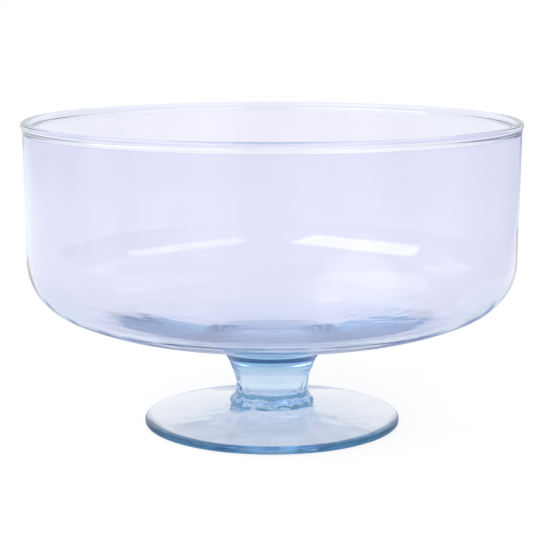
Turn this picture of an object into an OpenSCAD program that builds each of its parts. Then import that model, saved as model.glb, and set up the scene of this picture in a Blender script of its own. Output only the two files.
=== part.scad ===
// Footed fruit bowl in clear glass: a straight-sided cup with a rounded rim, on a short waisted stem
// and a flat disc foot. Millimetres, +Z up, origin at the middle of the foot's underside.
// The three pieces of glass are fused together hot, so they meet face to face with no clearance.

/* [Bowl] */
// Width across the rim, outside
rim_d = 250; // [200:1:300]
// Height of the bowl, from the stem joint up to the top of the rim
bowl_h = 126.4; // [110:0.1:150]
// Thickness of the wall
wall_t = 2.2; // [1.8:0.1:2.6]
// How much narrower in radius the wall is at its foot than under the rim
wall_taper = 0.5; // [0:0.1:2]
// Radius of the corner between wall and underside
corner_r = 29.4; // [22:0.1:36]
// Slope at which the corner runs into the wider heel curve, in degrees from level
corner_angle = 25.3; // [20:0.1:32]
// Radius of the heel curve under the corner
heel_r = 98; // [80:1:120]
// Slope of the underside between the heel and the stem, in degrees from level
underside_angle = 12.5; // [11:0.1:14]
// Extra thickness of the glass at the heel, over the wall
heel_extra = 0.2; // [0:0.1:1]
// Radius of the heel curve inside
floor_heel_r = 88; // [75:1:96]
// Slope of the floor between the heel and the dish in the middle, in degrees from level
floor_angle = 8.2; // [7:0.1:10]
// Radius of the dish in the middle of the floor
dish_r = 100; // [60:5:300]

/* [Rim] */
// Thickness of the rounded bead along the rim
rim_bead_d = 4; // [3.8:0.1:5]
// How far the rim's bead stands out past the wall
rim_out = 0.8; // [0.5:0.1:1]
// Radius of the soft flank between the rim's bead and the wall
rim_flank_r = 8; // [4:0.5:12]

/* [Joint] */
// Width of the fused joint between bowl and stem
joint_d = 42; // [38:0.5:46]
// Radius of the hollow curve from the underside down to the joint
boss_r = 17.5; // [14:0.5:21]
// Slope of the bowl's side at the joint, in degrees from level
boss_angle = 76; // [65:1:80]

/* [Stem] */
// Height of the stem, from the foot up to the bowl joint
stem_h = 18.9; // [16:0.1:24]
// Width of the stem at its waist
waist_d = 36; // [31:0.5:39]
// Radius of the hollow between the waist and the bead
waist_r = 4; // [3:0.5:6]
// Width across the stem's bead
bead_d = 43; // [40:0.5:48]
// Thickness of the stem's bead
bead_t = 7.2; // [7:0.1:8]
// Depth by which the bead's round is flattened against the foot
bead_flat = 3.2; // [2.4:0.1:3.4]

/* [Foot] */
// Width across the foot
foot_d = 130.6; // [110:0.1:150]
// Height of the foot in the middle, where the stem stands on it
foot_h = 10.2; // [9.6:0.1:13]
// Thickness of the foot at its edge
foot_edge_t = 3.4; // [2.8:0.1:5]
// Radius of the rounding along the foot's edge
foot_edge_r = 1.2; // [0.5:0.1:1.4]
// Width of the flat ring the foot rests on
rest_w = 3; // [2:0.5:6]
// Slope of the hollow under the foot, in degrees from level
hollow_angle = 6; // [4:0.5:7]
// Radius of the round in the middle of the hollow
hollow_round = 100; // [60:5:200]

/* [Part] */
// Which piece to show

/* [Hidden] */
// Largest turn between two points of a round stretch, in degrees
arc_step = 3;
$fn = 180;

// Heights of the two joints
seat_z = foot_h + stem_h;
rim_z = seat_z + bowl_h;

// Round stretch about a centre, from one angle to the other
function arc(c, r, a, b) =
    let (n = max(2, ceil(abs(b - a) / arc_step)))
    [for (i = [0:n]) c + r * [cos(a + (b - a) * i / n), sin(a + (b - a) * i / n)]];

// Points without the first, which repeats the end of the stretch before it
function onward(points) = [for (i = [1:len(points) - 1]) points[i]];

// Bowl, outside: joint, hollow, straight underside, heel, corner and wall
joint_r = joint_d / 2;
boss_c = [joint_r + boss_r * sin(boss_angle), seat_z - boss_r * cos(boss_angle)];
under_in = boss_c + boss_r * [-sin(underside_angle), cos(underside_angle)];
wall_top_r = rim_d / 2 - rim_out;
wall_low_r = wall_top_r - wall_taper;
corner_c_r = wall_low_r - corner_r;
heel_c_r = corner_c_r - (heel_r - corner_r) * sin(corner_angle);
under_out_r = heel_c_r + heel_r * sin(underside_angle);
under_out_z = under_in[1] + (under_out_r - under_in[0]) * tan(underside_angle);
heel_c = [heel_c_r, under_out_z + heel_r * cos(underside_angle)];
corner_c = [corner_c_r, heel_c[1] - (heel_r - corner_r) * cos(corner_angle)];

// Bowl, rim: bead and the flanks that carry it into both faces of the wall
rim_r = rim_bead_d / 2;
rim_c = [rim_d / 2 - rim_r, rim_z - rim_r];
flank_out_dr = wall_top_r + rim_flank_r - rim_c[0];
flank_out_dz = sqrt(max(0, pow(rim_flank_r + rim_r, 2) - pow(flank_out_dr, 2)));
flank_out_c = rim_c + [flank_out_dr, -flank_out_dz];
flank_out_a = atan2(flank_out_dz, flank_out_dr);
flank_in_dr = rim_c[0] - (wall_top_r - wall_t - rim_flank_r);
flank_in_dz = sqrt(max(0, pow(rim_flank_r + rim_r, 2) - pow(flank_in_dr, 2)));
flank_in_c = rim_c - [flank_in_dr, flank_in_dz];
flank_in_a = atan2(flank_in_dz, flank_in_dr);

// Bowl, inside: wall, corner, heel, sloping floor and the dish in its middle
in_corner_r = corner_r - wall_t;
in_corner_c = corner_c + [0, heel_extra];
in_heel_c = in_corner_c - (floor_heel_r - in_corner_r) * [sin(corner_angle), -cos(corner_angle)];
floor_out = in_heel_c + floor_heel_r * [sin(floor_angle), -cos(floor_angle)];
dish_out_r = dish_r * sin(floor_angle);
dish_out_z = floor_out[1] - (floor_out[0] - dish_out_r) * tan(floor_angle);
dish_c = [0, dish_out_z + dish_r * cos(floor_angle)];

// Stem: bead, waist and the flare up to the bowl
bead_r = bead_t / 2;
bead_c = [bead_d / 2 - bead_r, foot_h + bead_r - bead_flat];
base_r = bead_c[0] + sqrt(bead_r * bead_r - pow(bead_r - bead_flat, 2));
waist_dr = waist_d / 2 + waist_r - bead_c[0];
waist_dz = sqrt(pow(waist_r + bead_r, 2) - waist_dr * waist_dr);
waist_c = bead_c + [waist_dr, waist_dz];
waist_a = atan2(waist_dz, waist_dr);
flare_dr = joint_r - waist_d / 2;
flare_dz = seat_z - waist_c[1];
flare_r = (flare_dz * flare_dz + flare_dr * flare_dr) / (2 * flare_dr);
flare_c = [waist_d / 2 + flare_r, waist_c[1]];

// Foot: rounded edge, a top that runs straight from the edge to the stem, and the hollow underneath
edge_low_c = [foot_d / 2 - foot_edge_r, foot_edge_r];
edge_top_c = [foot_d / 2 - foot_edge_r, foot_edge_t - foot_edge_r];
edge_to_base = [base_r, foot_h] - edge_top_c;
edge_top_a = atan2(edge_to_base[1], edge_to_base[0]) - acos(foot_edge_r / norm(edge_to_base));
hollow_out_r = foot_d / 2 - foot_edge_r - rest_w;
hollow_in_r = hollow_round * sin(hollow_angle);
hollow_in_z = (hollow_out_r - hollow_in_r) * tan(hollow_angle);
hollow_c = [0, hollow_in_z - hollow_round * cos(hollow_angle)];

// Straight-sided cup with its rounded rim, thick in the middle where it sits on the stem
module bowl() {
    outside = concat(
        [[0, seat_z]],
        arc(boss_c, boss_r, boss_angle + 90, underside_angle + 90),
        arc(heel_c, heel_r, underside_angle - 90, corner_angle - 90),
        onward(arc(corner_c, corner_r, corner_angle - 90, 0))
    );
    rim = concat(
        arc(flank_out_c, rim_flank_r, 180, 180 - flank_out_a),
        onward(arc(rim_c, rim_r, -flank_out_a, 180 + flank_in_a)),
        onward(arc(flank_in_c, rim_flank_r, flank_in_a, 0))
    );
    inside = concat(
        arc(in_corner_c, in_corner_r, 0, corner_angle - 90),
        onward(arc(in_heel_c, floor_heel_r, corner_angle - 90, floor_angle - 90)),
        arc(dish_c, dish_r, floor_angle - 90, -90)
    );
    color([0.82, 0.84, 0.95, 0.45])
        rotate_extrude()
            polygon(concat(outside, rim, inside));
}

// Solid stem with a bead at the bottom, a waist, and a flare at the top
module stem() {
    side = concat(
        arc(bead_c, bead_r, -asin(1 - bead_flat / bead_r), waist_a),
        onward(arc(waist_c, waist_r, 180 + waist_a, 180)),
        onward(arc(flare_c, flare_r, 180, 180 - atan2(flare_dz, flare_r - flare_dr)))
    );
    color([0.62, 0.78, 0.92, 0.55])
        rotate_extrude()
            polygon(concat([[0, foot_h]], side, [[0, seat_z]]));
}

// Solid disc that rests on a flat ring, hollow in the middle underneath
module foot() {
    under = arc(hollow_c, hollow_round, 90, 90 - hollow_angle);
    edge = concat(
        arc(edge_low_c, foot_edge_r, -90, 0),
        arc(edge_top_c, foot_edge_r, 0, edge_top_a)
    );
    color([0.55, 0.76, 0.88, 0.55])
        rotate_extrude()
            polygon(concat(under, [[hollow_out_r, 0]], edge, [[base_r, foot_h], [0, foot_h]]));
}

bowl();
stem();
foot();
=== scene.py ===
import math

import bpy
import numpy as np
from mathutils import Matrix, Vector, noise


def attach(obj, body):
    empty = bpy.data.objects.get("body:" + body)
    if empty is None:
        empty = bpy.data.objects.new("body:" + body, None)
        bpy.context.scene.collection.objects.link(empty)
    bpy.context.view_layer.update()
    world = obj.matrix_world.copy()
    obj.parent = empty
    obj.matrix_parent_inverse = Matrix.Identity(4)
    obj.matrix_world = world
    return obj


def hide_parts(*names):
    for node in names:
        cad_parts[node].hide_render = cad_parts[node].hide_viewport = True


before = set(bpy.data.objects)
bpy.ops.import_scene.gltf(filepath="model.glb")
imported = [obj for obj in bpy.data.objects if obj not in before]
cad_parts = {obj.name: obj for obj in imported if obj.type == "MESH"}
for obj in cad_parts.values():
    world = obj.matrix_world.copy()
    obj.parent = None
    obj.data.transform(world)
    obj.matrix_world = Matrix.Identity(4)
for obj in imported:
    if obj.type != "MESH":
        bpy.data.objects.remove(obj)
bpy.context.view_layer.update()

# Sizes in mm and slopes in degrees, as in the part's source
RIM_D, BOWL_H, WALL_T, WALL_TAPER = 250.0, 126.4, 2.2, 0.5
CORNER_R, CORNER_A, HEEL_R, UNDER_A = 29.4, 25.3, 98.0, 12.5
HEEL_EXTRA, FLOOR_HEEL_R, FLOOR_A, DISH_R = 0.2, 88.0, 8.2, 100.0
RIM_BEAD_D, RIM_OUT, RIM_FLANK_R = 4.0, 0.8, 8.0
JOINT_D, BOSS_R, BOSS_A = 42.0, 17.5, 76.0
STEM_H, WAIST_D, WAIST_R = 18.9, 36.0, 4.0
BEAD_D, BEAD_T, BEAD_FLAT = 43.0, 7.2, 3.2
FOOT_D, FOOT_H, FOOT_EDGE_T, FOOT_EDGE_R = 130.6, 10.2, 3.4, 1.2
REST_W, HOLLOW_A, HOLLOW_ROUND = 3.0, 6.0, 100.0

SEAT_Z = FOOT_H + STEM_H
RIM_Z = SEAT_Z + BOWL_H

# Meshes, in mm
MM = 0.001
JOINT_GAP = 0.01        # left between two fused faces, on each side
RIM_INSET = 0.04        # keeps the round rim inside the flat facets of the solid's own mesh
POINT_STEP = 2.5        # between two points along a profile, at most
JOINT_STEP = 6.0        # the same along a joint's flat face
SAME_POINT = 0.02       # points of a profile that are nearer than this are one
TURN_STEPS, STEM_TURN_STEPS = 300, 720
GLASS_IOR = 1.5
FUSED_IOR = 1.0         # light crosses a fused joint without bending


def sin(a):
    return math.sin(math.radians(a))


def cos(a):
    return math.cos(math.radians(a))


def tan(a):
    return math.tan(math.radians(a))


def arc(c, r, a, b, step=1.5):
    """Points of a round stretch about c, from angle a to angle b, at most step degrees apart."""
    turn = abs(b - a)
    n = max(3, math.ceil(turn / step), math.ceil(math.radians(turn) * r / POINT_STEP))
    t = np.radians(np.linspace(a, b, n + 1))
    return [(c[0] + r * math.cos(x), c[1] + r * math.sin(x)) for x in t]


def line(p, q, step=POINT_STEP):
    """Points of a straight stretch from p to q."""
    n = max(1, math.ceil(math.dist(p, q) / step))
    return [(p[0] + (q[0] - p[0]) * i / n, p[1] + (q[1] - p[1]) * i / n) for i in range(n + 1)]


def joined(*parts):
    """One open path from several, without the points that repeat."""
    out = []
    for part in parts:
        for p in part:
            if not out or math.dist(out[-1], p) > SAME_POINT:
                out.append(p)
    return out


def bowl_paths():
    """Profile of the bowl: the joint, then the skin from the boss over the rim to the floor's middle."""
    joint_r = JOINT_D / 2
    joint_z = SEAT_Z + JOINT_GAP
    boss_c = (joint_r + BOSS_R * sin(BOSS_A), SEAT_Z - BOSS_R * cos(BOSS_A))
    under_in = (boss_c[0] - BOSS_R * sin(UNDER_A), boss_c[1] + BOSS_R * cos(UNDER_A))
    wall_top_r = RIM_D / 2 - RIM_OUT
    wall_low_r = wall_top_r - WALL_TAPER
    corner_cr = wall_low_r - CORNER_R
    heel_cr = corner_cr - (HEEL_R - CORNER_R) * sin(CORNER_A)
    under_out_r = heel_cr + HEEL_R * sin(UNDER_A)
    under_out_z = under_in[1] + (under_out_r - under_in[0]) * tan(UNDER_A)
    heel_c = (heel_cr, under_out_z + HEEL_R * cos(UNDER_A))
    corner_c = (corner_cr, heel_c[1] - (HEEL_R - CORNER_R) * cos(CORNER_A))
    rim_r = RIM_BEAD_D / 2
    rim_c = (RIM_D / 2 - rim_r, RIM_Z - rim_r)

    def flank(dr):
        dz = math.sqrt((RIM_FLANK_R + rim_r) ** 2 - dr * dr)
        return dz, math.degrees(math.atan2(dz, dr))

    out_dr = wall_top_r + RIM_FLANK_R - rim_c[0]
    out_dz, out_a = flank(out_dr)
    in_dr = rim_c[0] - (wall_top_r - WALL_T - RIM_FLANK_R)
    in_dz, in_a = flank(in_dr)
    boss = arc(boss_c, BOSS_R, BOSS_A + 90, UNDER_A + 90)
    boss[0] = (joint_r, joint_z)
    heel = arc(heel_c, HEEL_R, UNDER_A - 90, CORNER_A - 90)
    corner = arc(corner_c, CORNER_R, CORNER_A - 90, 0)
    flank_out = arc((rim_c[0] + out_dr, rim_c[1] - out_dz), RIM_FLANK_R, 180, 180 - out_a)
    bead = arc(rim_c, rim_r, -out_a, 180 + in_a, step=6)
    flank_in = arc((rim_c[0] - in_dr, rim_c[1] - in_dz), RIM_FLANK_R, in_a, 0)
    in_corner_r = CORNER_R - WALL_T
    in_corner_c = (corner_c[0], corner_c[1] + HEEL_EXTRA)
    in_heel_c = (in_corner_c[0] - (FLOOR_HEEL_R - in_corner_r) * sin(CORNER_A),
                 in_corner_c[1] + (FLOOR_HEEL_R - in_corner_r) * cos(CORNER_A))
    floor_out = (in_heel_c[0] + FLOOR_HEEL_R * sin(FLOOR_A), in_heel_c[1] - FLOOR_HEEL_R * cos(FLOOR_A))
    dish_out_r = DISH_R * sin(FLOOR_A)
    dish_out_z = floor_out[1] - (floor_out[0] - dish_out_r) * tan(FLOOR_A)
    in_corner = arc(in_corner_c, in_corner_r, 0, CORNER_A - 90)
    in_heel = arc(in_heel_c, FLOOR_HEEL_R, CORNER_A - 90, FLOOR_A - 90)
    dish = arc((0.0, dish_out_z + DISH_R * cos(FLOOR_A)), DISH_R, FLOOR_A - 90, -90, step=0.5)
    skin = joined(boss, line(boss[-1], heel[0]), heel, corner,
                  line(corner[-1], flank_out[0]), flank_out, bead, flank_in,
                  line(flank_in[-1], in_corner[0]), in_corner, in_heel,
                  line(in_heel[-1], dish[0]), dish)
    joint = line((0.0, joint_z), (joint_r, joint_z), JOINT_STEP)
    return [(joint, FUSED_IOR), (skin, GLASS_IOR)]


def stem_paths():
    """Profile of the stem, from its joint with the foot to that with the bowl, and its base radius."""
    bead_r = BEAD_T / 2
    bead_c = (BEAD_D / 2 - bead_r, FOOT_H + bead_r - BEAD_FLAT)
    base_r = bead_c[0] + math.sqrt(bead_r ** 2 - (bead_r - BEAD_FLAT) ** 2)
    waist_dr = WAIST_D / 2 + WAIST_R - bead_c[0]
    waist_dz = math.sqrt((WAIST_R + bead_r) ** 2 - waist_dr ** 2)
    waist_c = (bead_c[0] + waist_dr, bead_c[1] + waist_dz)
    waist_a = math.degrees(math.atan2(waist_dz, waist_dr))
    joint_r = JOINT_D / 2
    flare_dr = joint_r - WAIST_D / 2
    flare_dz = SEAT_Z - waist_c[1]
    flare_r = (flare_dz ** 2 + flare_dr ** 2) / (2 * flare_dr)
    flare_c = (WAIST_D / 2 + flare_r, waist_c[1])
    low_z, top_z = FOOT_H + JOINT_GAP, SEAT_Z - JOINT_GAP
    bead = arc(bead_c, bead_r, -math.degrees(math.asin(1 - BEAD_FLAT / bead_r)), waist_a, step=3)
    bead[0] = (base_r, low_z)
    waist = arc(waist_c, WAIST_R, 180 + waist_a, 180, step=3)
    flare = arc(flare_c, flare_r, 180, 180 - math.degrees(math.atan2(flare_dz, flare_r - flare_dr)))
    flare[-1] = (joint_r, top_z)
    low_joint = line((0.0, low_z), (base_r, low_z), JOINT_STEP)
    top_joint = line((joint_r, top_z), (0.0, top_z), JOINT_STEP)
    side = joined(bead, waist, flare)
    return [(low_joint, FUSED_IOR), (side, GLASS_IOR), (top_joint, FUSED_IOR)], base_r


def foot_paths(base_r):
    """Profile of the foot: the skin from the middle of the hollow over the edge, then the joint."""
    low_c = (FOOT_D / 2 - FOOT_EDGE_R, FOOT_EDGE_R)
    top_c = (FOOT_D / 2 - FOOT_EDGE_R, FOOT_EDGE_T - FOOT_EDGE_R)
    to_base = (base_r - top_c[0], FOOT_H - top_c[1])
    top_a = math.degrees(math.atan2(to_base[1], to_base[0])
                         - math.acos(FOOT_EDGE_R / math.hypot(*to_base)))
    hollow_out = FOOT_D / 2 - FOOT_EDGE_R - REST_W
    hollow_in_r = HOLLOW_ROUND * sin(HOLLOW_A)
    hollow_in_z = (hollow_out - hollow_in_r) * tan(HOLLOW_A)
    tip = arc((0.0, hollow_in_z - HOLLOW_ROUND * cos(HOLLOW_A)), HOLLOW_ROUND, 90, 90 - HOLLOW_A)
    under = joined(tip, line(tip[-1], (hollow_out, 0.0)))
    low = arc(low_c, FOOT_EDGE_R, -90, 0, step=9)
    top = arc(top_c, FOOT_EDGE_R, 0, top_a, step=9)
    joint_z = FOOT_H - JOINT_GAP
    skin = joined(under, line(under[-1], low[0]), low, top, line(top[-1], (base_r, joint_z)))
    skin[-1] = (base_r, joint_z)
    joint = line((base_r, joint_z), (0.0, joint_z), JOINT_STEP)
    return [(skin, GLASS_IOR), (joint, FUSED_IOR)]


def turned(name, paths, ripple, segments):
    """Closed mesh turned about Z from paths that follow each other, axis to axis, moved along its faces'
    outward direction by ripple, with the light-bending value of each path on its faces."""
    rings, iors, sharp = [], [], set()
    for path, ior in paths:
        first = 1 if rings else 0
        if rings:
            sharp.add(len(rings) - 1)
        for p in path[first:]:
            if rings:
                iors.append(ior)
            rings.append(p)
    ring = np.array(rings)
    ang = np.linspace(0, 2 * math.pi, segments, endpoint=False)
    along = np.gradient(ring, axis=0)
    along /= np.linalg.norm(along, axis=1, keepdims=True)
    pts = []
    for (r, z), (dr, dz) in zip(ring, along):
        xyz = np.stack([r * np.cos(ang), r * np.sin(ang), np.full(segments, z)], -1)
        off = np.array([ripple(Vector(p), dr) for p in xyz])
        outward = np.stack([dz * np.cos(ang), dz * np.sin(ang), np.full(segments, -dr)], -1)
        pts.append(xyz + off[:, None] * outward)
    # the first and the last ring lie on the axis, so each becomes one point
    ends = [[0, 0, pts[0][:, 2].mean()], [0, 0, pts[-1][:, 2].mean()]]
    pts = np.vstack(pts[1:-1] + [ends]) * MM
    n = len(ring) - 2
    faces, face_ior = [], []
    start, end = n * segments, n * segments + 1
    nxt = np.roll(np.arange(segments), -1)
    for j in range(segments):
        faces.append((start, nxt[j], j))
        face_ior.append(iors[0])
    for i in range(n - 1):
        a = i * segments
        for j in range(segments):
            faces.append((a + j, a + nxt[j], a + segments + nxt[j], a + segments + j))
            face_ior.append(iors[i + 1])
    a = (n - 1) * segments
    for j in range(segments):
        faces.append((a + j, a + nxt[j], end))
        face_ior.append(iors[-1])
    me = bpy.data.meshes.new(name)
    me.from_pydata(pts.tolist(), [], [tuple(int(v) for v in f) for f in faces])
    me.validate()
    me.polygons.foreach_set("use_smooth", [True] * len(me.polygons))
    me.attributes.new("ior", "FLOAT", "FACE").data.foreach_set("value", face_ior)
    # the edge between a joint's face and the skin stays sharp
    edges = np.empty(len(me.edges) * 2, int)
    me.edges.foreach_get("vertices", edges)
    row = np.minimum(edges // segments, n).reshape(-1, 2)
    on_sharp = np.isin(row[:, 0], [s - 1 for s in sharp]) & (row[:, 0] == row[:, 1])
    me.attributes.new("sharp_edge", "BOOLEAN", "EDGE").data.foreach_set("value", on_sharp.tolist())
    me.update()
    ob = bpy.data.objects.new(name, me)
    bpy.context.scene.collection.objects.link(ob)
    return ob


# Unevenness of hand-worked glass, in mm: how far each kind of wave moves the face, and how long it is
WALL_WAVE, WALL_WAVE_L = 0.04, 45.0
FLUTE, FLUTE_L, FLUTE_RISE = 0.03, 7.0, 0.08
FLOOR_WAVE, FLOOR_WAVE_L = 0.08, 11.0
LUMP, LUMP_L, LUMP_RISE = 0.75, 5.0, 1.5
SMALL_LUMP, SMALL_LUMP_L = 0.25, 2.4
PINCH, PINCH_L, PINCH_RISE = 0.7, 2.6, 0.4
SCAR, SCAR_L = 0.8, 3.4
HOLLOW_WAVE, HOLLOW_WAVE_L = 0.03, 6.0
FOOT_WAVE, FOOT_WAVE_L = 0.08, 14.0
# Swells on the bowl's floor: steepness, the Y they start from, the Y of their crests, and their eddies
SWELL_SLOPE, SWELL_FRONT = 0.028, -32.0
CREST_MIDDLE, CREST_LEFT, CREST_RIGHT = -22.0, 5.0, 26.0
EDDY, EDDY_L, EDDY_TURN, EDDY_TURN_L = 0.2, 6.5, 9.0, 16.0
# Nearer to the axis than this, the stem has only its joint faces
STEM_SKIN_R = 15.0


def fade(x, start, end):
    """Smooth step from 0 at start to 1 at end, which are places in mm."""
    t = min(1.0, max(0.0, (x - start) / (end - start)))
    return t * t * (3 - 2 * t)


def wave(p, length, seed):
    """Noise between about -1 and 1 at a point, of a wave length, with a seed of its own."""
    return noise.noise(Vector((p.x / length + seed, p.y / length - seed, p.z / length + 2 * seed)))


def risen(p, share):
    """The point with its height scaled, which stretches or squeezes waves along Z."""
    return Vector((p.x, p.y, share * p.z))


def floor_swell(p):
    """Low swells on the floor at both sides of the stem, longer on the right, with eddies in them."""
    side = abs(p.x)
    crest = CREST_RIGHT if p.x > 0 else CREST_LEFT
    reach = fade(side, 10.0, 40.0) * (1 - fade(side, 52.0, 90.0))
    back = CREST_MIDDLE + (crest - CREST_MIDDLE) * fade(side, 12.0, 50.0)
    rise = fade(p.y, SWELL_FRONT, back) * (1 - fade(p.y, back + 3.0, back + 45.0))
    turn_x = EDDY_TURN * wave(p, EDDY_TURN_L, 4.4)
    turn_y = EDDY_TURN * wave(p, EDDY_TURN_L, 7.7)
    turned_p = Vector((p.x + turn_x, p.y + turn_y, p.z))
    within = fade(p.y, -70.0, -45.0) * (1 - fade(p.y, back, back + 12.0))
    eddies = within * wave(turned_p, EDDY_L, 2.9)
    return reach * (SWELL_SLOPE * (back - SWELL_FRONT) * rise + EDDY * eddies)


def bowl_ripple(p, dr):
    """Blown glass: short waves and swells on the floor, long waves and flutes up the wall, an even rim."""
    wall = fade(p.z, 60.0, 90.0) * (1 - fade(p.z, 140.0, 152.0))
    flutes = FLUTE * wave(risen(p, FLUTE_RISE), FLUTE_L, 6.3)
    uneven = wall * (WALL_WAVE * wave(p, WALL_WAVE_L, 8.1) + flutes)
    if dr < 0:
        low = 1 - fade(p.z, 58.0, 75.0)
        uneven += low * (FLOOR_WAVE * wave(p, FLOOR_WAVE_L, 3.7) + floor_swell(p))
    return uneven - RIM_INSET * fade(p.z, 140.0, 152.0)


def stem_ripple(p, dr):
    """Tool marks: lumps around the bead, pinch marks at both sides of the waist, none at the joints."""
    if math.hypot(p.x, p.y) < STEM_SKIN_R:
        return 0.0
    ends = fade(p.z, FOOT_H, FOOT_H + 1.3) * (1 - fade(p.z, SEAT_Z - 4.0, SEAT_Z))
    bead = 1 - fade(p.z, 13.5, 16.5)
    lumps = LUMP * wave(risen(p, LUMP_RISE), LUMP_L, 1.3) + SMALL_LUMP * wave(p, SMALL_LUMP_L, 9.4)
    pinched = fade(abs(p.x), 10.0, 15.0) * (1 - fade(p.z, 20.0, 25.0))
    marks = PINCH * pinched * wave(risen(p, PINCH_RISE), PINCH_L, 5.9)
    return ends * (bead * lumps + (1 - bead) * marks)


def foot_ripple(p, dr):
    """Soft waves on the top and in the hollow, and the uneven scar where the rod was broken off below."""
    r = math.hypot(p.x, p.y)
    if dr > 0:
        scar = SCAR * (1 - fade(r, 9.0, 14.0)) * wave(p, SCAR_L, 4.6)
        return scar + HOLLOW_WAVE * (1 - fade(r, 45.0, 58.0)) * wave(p, HOLLOW_WAVE_L, 7.1)
    if p.z < FOOT_EDGE_T:
        return 0.0
    return FOOT_WAVE * fade(r, 21.5, 27.0) * (1 - fade(r, 56.0, 63.0)) * wave(p, FOOT_WAVE_L, 2.2)


# Glass: the colour that its depth leaves in the light, how fast per metre, and the faint tint of its faces
AQUA, AQUA_STEM, AQUA_FOOT = (0.03, 0.54, 0.76), (0.05, 0.5, 0.82), (0.0, 0.48, 0.66)
BOWL_DENSITY, STEM_DENSITY, FOOT_DENSITY = 20.0, 14.0, 20.0
LAVENDER, CLEAR, LILAC = (0.9, 0.885, 0.97), (0.97, 0.97, 1.0), (0.94, 0.915, 1.0)
# Streaks in the tint: how strong, between which noise values, and how many per metre along X, Y and Z
TINT_SPREAD, TINT_STOPS = 0.025, (0.3, 0.7)
UPRIGHT, LEVEL = (22.0, 22.0, 5.0), (16.0, 16.0, 40.0)
ROUGHEST, POLISH_GRAIN = 0.012, (90.0, 90.0, 90.0)
BUMP_STRENGTH, BUMP_DEPTH, BUMP_GRAIN = 0.25, 0.0002, (55.0, 55.0, 30.0)


def glass(name, tint, absorb, density, streak):
    """Clear glass: tint in faint streaks on its faces, colour by depth inside, waves from the tools."""
    mat = bpy.data.materials.new(name)
    mat.use_nodes = True
    nt = mat.node_tree
    p = nt.nodes["Principled BSDF"]
    out = nt.nodes["Material Output"]
    place = nt.nodes.new("ShaderNodeTexCoord")

    def noise_of(stretch, detail):
        at = nt.nodes.new("ShaderNodeMapping")
        at.inputs["Scale"].default_value = stretch
        nt.links.new(place.outputs["Object"], at.inputs["Vector"])
        tex = nt.nodes.new("ShaderNodeTexNoise")
        tex.inputs["Scale"].default_value = 1.0
        tex.inputs["Detail"].default_value = detail
        nt.links.new(at.outputs["Vector"], tex.inputs["Vector"])
        return tex.outputs["Fac"]

    tones = nt.nodes.new("ShaderNodeValToRGB")
    shares = (1 - TINT_SPREAD, 1 + TINT_SPREAD)
    for stop, at, share in zip(tones.color_ramp.elements, TINT_STOPS, shares):
        stop.position = at
        stop.color = (*(min(1.0, c * share) for c in tint), 1)
    nt.links.new(noise_of(streak, 3.0), tones.inputs["Fac"])
    nt.links.new(tones.outputs["Color"], p.inputs["Base Color"])
    polish = nt.nodes.new("ShaderNodeMapRange")
    polish.inputs["To Min"].default_value = 0.0
    polish.inputs["To Max"].default_value = ROUGHEST
    nt.links.new(noise_of(POLISH_GRAIN, 2.0), polish.inputs["Value"])
    nt.links.new(polish.outputs["Result"], p.inputs["Roughness"])
    bump = nt.nodes.new("ShaderNodeBump")
    bump.inputs["Strength"].default_value = BUMP_STRENGTH
    bump.inputs["Distance"].default_value = BUMP_DEPTH
    nt.links.new(noise_of(BUMP_GRAIN, 1.0), bump.inputs["Height"])
    nt.links.new(bump.outputs["Normal"], p.inputs["Normal"])
    p.inputs["Transmission Weight"].default_value = 1.0
    p.inputs["IOR"].default_value = GLASS_IOR
    bending = nt.nodes.new("ShaderNodeAttribute")
    bending.attribute_name = "ior"
    nt.links.new(bending.outputs["Fac"], p.inputs["IOR"])
    depth = nt.nodes.new("ShaderNodeVolumeAbsorption")
    depth.inputs["Color"].default_value = (*absorb, 1)
    depth.inputs["Density"].default_value = density
    nt.links.new(depth.outputs["Volume"], out.inputs["Volume"])
    return mat


bowl_glass = glass("bowl_glass", LAVENDER, AQUA, BOWL_DENSITY, UPRIGHT)
stem_glass = glass("stem_glass", CLEAR, AQUA_STEM, STEM_DENSITY, UPRIGHT)
foot_glass = glass("foot_glass", LILAC, AQUA_FOOT, FOOT_DENSITY, LEVEL)
stem_path, stem_base_r = stem_paths()
pieces = {
    "bowl": (bowl_paths(), bowl_ripple, TURN_STEPS, bowl_glass),
    "stem": (stem_path, stem_ripple, STEM_TURN_STEPS, stem_glass),
    "foot": (foot_paths(stem_base_r), foot_ripple, TURN_STEPS, foot_glass),
}
for node, (paths, ripple, segments, mat) in pieces.items():
    ob = turned(node + "_glass", paths, ripple, segments)
    ob.data.materials.append(mat)
    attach(ob, "root")
    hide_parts(node)


# Stage, light and camera, in metres
BOUNCES = 128           # light turns many times in the solid stem
scene = bpy.context.scene
scene.view_settings.view_transform = "Standard"
scene.cycles.max_bounces = BOUNCES
scene.cycles.glossy_bounces = BOUNCES
scene.cycles.transmission_bounces = BOUNCES

# Places of the colour sockets in Blender's mix node
MIX_A, MIX_B, MIX_RESULT = 6, 7, 2


def ray_share(nt, *kinds):
    """A socket that is 1 on the named kinds of ray and 0 on the others."""
    path = nt.nodes.new("ShaderNodeLightPath")
    share = path.outputs[kinds[0]]
    for kind in kinds[1:]:
        both = nt.nodes.new("ShaderNodeMath")
        both.operation = "MAXIMUM"
        nt.links.new(share, both.inputs[0])
        nt.links.new(path.outputs[kind], both.inputs[1])
        share = both.outputs[0]
    return share


def mixed_colour(nt, share, a, b):
    """Colour a where share is 0 and b where it is 1, each a fixed colour or a socket."""
    mix = nt.nodes.new("ShaderNodeMix")
    mix.data_type = "RGBA"
    nt.links.new(share, mix.inputs["Factor"])
    for socket, value in ((mix.inputs[MIX_A], a), (mix.inputs[MIX_B], b)):
        if isinstance(value, tuple):
            socket.default_value = (*value, 1)
        else:
            nt.links.new(value, socket)
    return mix.outputs[MIX_RESULT]


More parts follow.
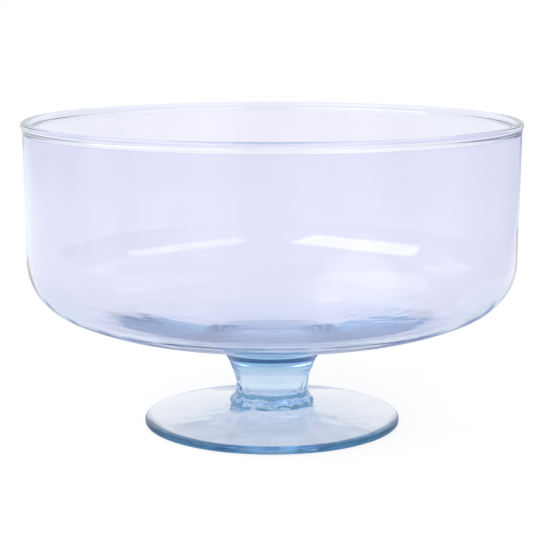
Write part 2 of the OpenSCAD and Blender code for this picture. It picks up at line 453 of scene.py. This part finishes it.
def product(nt, a, b):
    """Two colours multiplied."""
    mix = nt.nodes.new("ShaderNodeMix")
    mix.data_type = "RGBA"
    mix.blend_type = "MULTIPLY"
    mix.inputs["Factor"].default_value = 1.0
    nt.links.new(a, mix.inputs[MIX_A])
    nt.links.new(b, mix.inputs[MIX_B])
    return mix.outputs[MIX_RESULT]


def ramp_of(nt, value, low, high, stops):
    """Colour that follows a value, with the stops given in the value's own units."""
    span = nt.nodes.new("ShaderNodeMapRange")
    span.inputs["From Min"].default_value = low
    span.inputs["From Max"].default_value = high
    nt.links.new(value, span.inputs["Value"])
    ramp = nt.nodes.new("ShaderNodeValToRGB")
    nt.links.new(span.outputs["Result"], ramp.inputs["Fac"])
    while len(ramp.color_ramp.elements) < len(stops):
        ramp.color_ramp.elements.new(0.5)
    for stop, (at, colour) in zip(ramp.color_ramp.elements, stops):
        stop.position = (at - low) / (high - low)
        stop.color = (*colour, 1)
    return ramp.outputs["Color"]


def graded(nt, value, low, high, start, end):
    """Smooth step of a value from one number to another."""
    span = nt.nodes.new("ShaderNodeMapRange")
    span.interpolation_type = "SMOOTHSTEP"
    for socket, number in zip(("From Min", "From Max", "To Min", "To Max"), (low, high, start, end)):
        span.inputs[socket].default_value = number
    nt.links.new(value, span.inputs["Value"])
    return span.outputs["Result"]


def length_from(nt, position, point):
    """Distance of a position from a fixed point."""
    far = nt.nodes.new("ShaderNodeVectorMath")
    far.operation = "DISTANCE"
    nt.links.new(position, far.inputs[0])
    far.inputs[1].default_value = point
    return far.outputs["Value"]


AMBIENT, WHITE, DUSK = (0.5, 0.5, 0.52), (1.0, 1.0, 1.0), (0.3, 0.27, 0.45)
# What the glass shows of the studio: white around the sweep, dimmer overhead and beyond its sides
SKY = ((0.5, WHITE), (0.75, (0.95, 0.95, 0.97)), (1.0, (0.9, 0.9, 0.93)))
SKY_SIDES = ((-0.9, (0.8, 0.78, 0.86)), (-0.8, WHITE), (0.68, WHITE), (0.8, DUSK))
world = bpy.data.worlds.new("studio")
scene.world = world
world.use_nodes = True
wt = world.node_tree
bg = wt.nodes["Background"]
way = wt.nodes.new("ShaderNodeTexCoord")
axes = wt.nodes.new("ShaderNodeSeparateXYZ")
wt.links.new(way.outputs["Generated"], axes.inputs[0])
overhead = ramp_of(wt, axes.outputs["Z"], 0, 1, SKY)
around = product(wt, overhead, ramp_of(wt, axes.outputs["X"], -1, 1, SKY_SIDES))
seen = mixed_colour(wt, ray_share(wt, "Is Glossy Ray", "Is Transmission Ray"), AMBIENT, around)
wt.links.new(mixed_colour(wt, ray_share(wt, "Is Camera Ray"), seen, WHITE), bg.inputs["Color"])

# Floor, a hair under the foot
FLOOR_HALF, FLOOR_Z, FLOOR_GREY = 30.0, -0.0003, 0.32
# What the glass reflects of the ground is painted into the ground's colour for reflected rays only: a
# painted blue shadow of the glass near it, painted dusk beside and behind it, painted dimmer ground far in
# front, and a painted pool of light in front on the right
SHADE, SHADE_REACH = ((0.16, (0.32, 0.4, 0.6)), (0.45, WHITE)), 0.5
GROUND_DUSK, GROUND_REACH = (0.4, 0.36, 0.58), 1.2
GROUND_SIDES = ((-1.2, GROUND_DUSK), (-0.6, WHITE), (0.3, WHITE), (0.5, GROUND_DUSK))
DUSK_NONE_Y, DUSK_FULL_Y = -0.15, 0.15
GROUND_FRONT = ((-0.7, (0.75, 0.72, 0.8)), (-0.3, WHITE))
POOL_GLOW, POOL_AT, POOL_IN, POOL_OUT = 1.8, (0.31, -0.44, 0.0), 0.12, 0.22
# The ground's own glow makes up for the lamps where they do not reach, so that it is white all over
GLOW_NEAR, GLOW_FAR, NEAR, FAR = 0.79, 0.84, 0.2, 0.9

fm = bpy.data.meshes.new("floor")
corners = ((-1, -1), (1, -1), (1, 1), (-1, 1))
fm.from_pydata([(x * FLOOR_HALF, y * FLOOR_HALF, FLOOR_Z) for x, y in corners], [], [(0, 1, 2, 3)])
floor = bpy.data.objects.new("floor", fm)
scene.collection.objects.link(floor)
fmat = bpy.data.materials.new("floor")
fmat.use_nodes = True
ft = fmat.node_tree
fp = ft.nodes["Principled BSDF"]
fp.inputs["Base Color"].default_value = (FLOOR_GREY, FLOOR_GREY, FLOOR_GREY, 1)
fp.inputs["Roughness"].default_value = 1.0
fp.inputs["Specular IOR Level"].default_value = 0.0
place = ft.nodes.new("ShaderNodeNewGeometry").outputs["Position"]
spot = ft.nodes.new("ShaderNodeSeparateXYZ")
ft.links.new(place, spot.inputs[0])
from_middle = length_from(ft, place, (0.0, 0.0, 0.0))
sides = ramp_of(ft, spot.outputs["X"], -GROUND_REACH, GROUND_REACH, GROUND_SIDES)
backwards = graded(ft, spot.outputs["Y"], DUSK_NONE_Y, DUSK_FULL_Y, 0.0, 1.0)
beside = mixed_colour(ft, backwards, WHITE, sides)
before = ramp_of(ft, spot.outputs["Y"], -1, 0, GROUND_FRONT)
# painted blue shadow of the glass on the ground, seen only in reflections
shade = ramp_of(ft, from_middle, 0, SHADE_REACH, SHADE)
ground = product(ft, shade, product(ft, beside, before))
mirrored = ray_share(ft, "Is Reflection Ray")
ft.links.new(mixed_colour(ft, mirrored, WHITE, ground), fp.inputs["Emission Color"])
# painted pool of light on the ground, seen only in reflections
pool = graded(ft, length_from(ft, place, POOL_AT), POOL_IN, POOL_OUT, POOL_GLOW, 0.0)
glow = graded(ft, from_middle, NEAR, FAR, GLOW_NEAR, GLOW_FAR)
strength = ft.nodes.new("ShaderNodeMath")
strength.operation = "MULTIPLY_ADD"
for socket, value in zip(strength.inputs, (mirrored, pool, glow)):
    ft.links.new(value, socket)
ft.links.new(strength.outputs[0], fp.inputs["Emission Strength"])
fm.materials.append(fmat)

LAMP_TARGET, LAMP_DISTANCE = (0.0, 0.08, 0.075), 1.0


def softbox(name, azimuth, elevation, width, height, radiance):
    """Area lamp seen from the target at an azimuth from -Y towards +X, turned to face it."""
    lamp = bpy.data.lights.new(name, "AREA")
    lamp.shape = "RECTANGLE"
    lamp.size, lamp.size_y = width, height
    lamp.energy = math.pi * width * height * radiance
    ob = bpy.data.objects.new(name, lamp)
    way = Vector((sin(azimuth) * cos(elevation), -cos(azimuth) * cos(elevation), sin(elevation)))
    ob.location = Vector(LAMP_TARGET) + LAMP_DISTANCE * way
    ob.rotation_euler = way.to_track_quat("Z", "Y").to_euler()
    scene.collection.objects.link(ob)


softbox("softbox_left", azimuth=-55, elevation=43, width=1.1, height=0.45, radiance=2.8)
softbox("softbox_right", azimuth=56, elevation=47, width=1.1, height=0.25, radiance=1.8)

# Camera fitted to the ellipses of the rim and the foot
FOCAL_PX, PICTURE_PX, SENSOR_MM = 1633.6, 544, 36.0
CAMERA_AT, CAMERA_DIP = (0.0, -0.81929, 0.22112), 9.94
cam = bpy.data.cameras.new("camera")
cam.sensor_width = SENSOR_MM
cam.lens = FOCAL_PX / PICTURE_PX * SENSOR_MM
camera = bpy.data.objects.new("camera", cam)
camera.location = CAMERA_AT
camera.rotation_euler = (math.radians(90 - CAMERA_DIP), 0, 0)
scene.collection.objects.link(camera)
scene.camera = camera
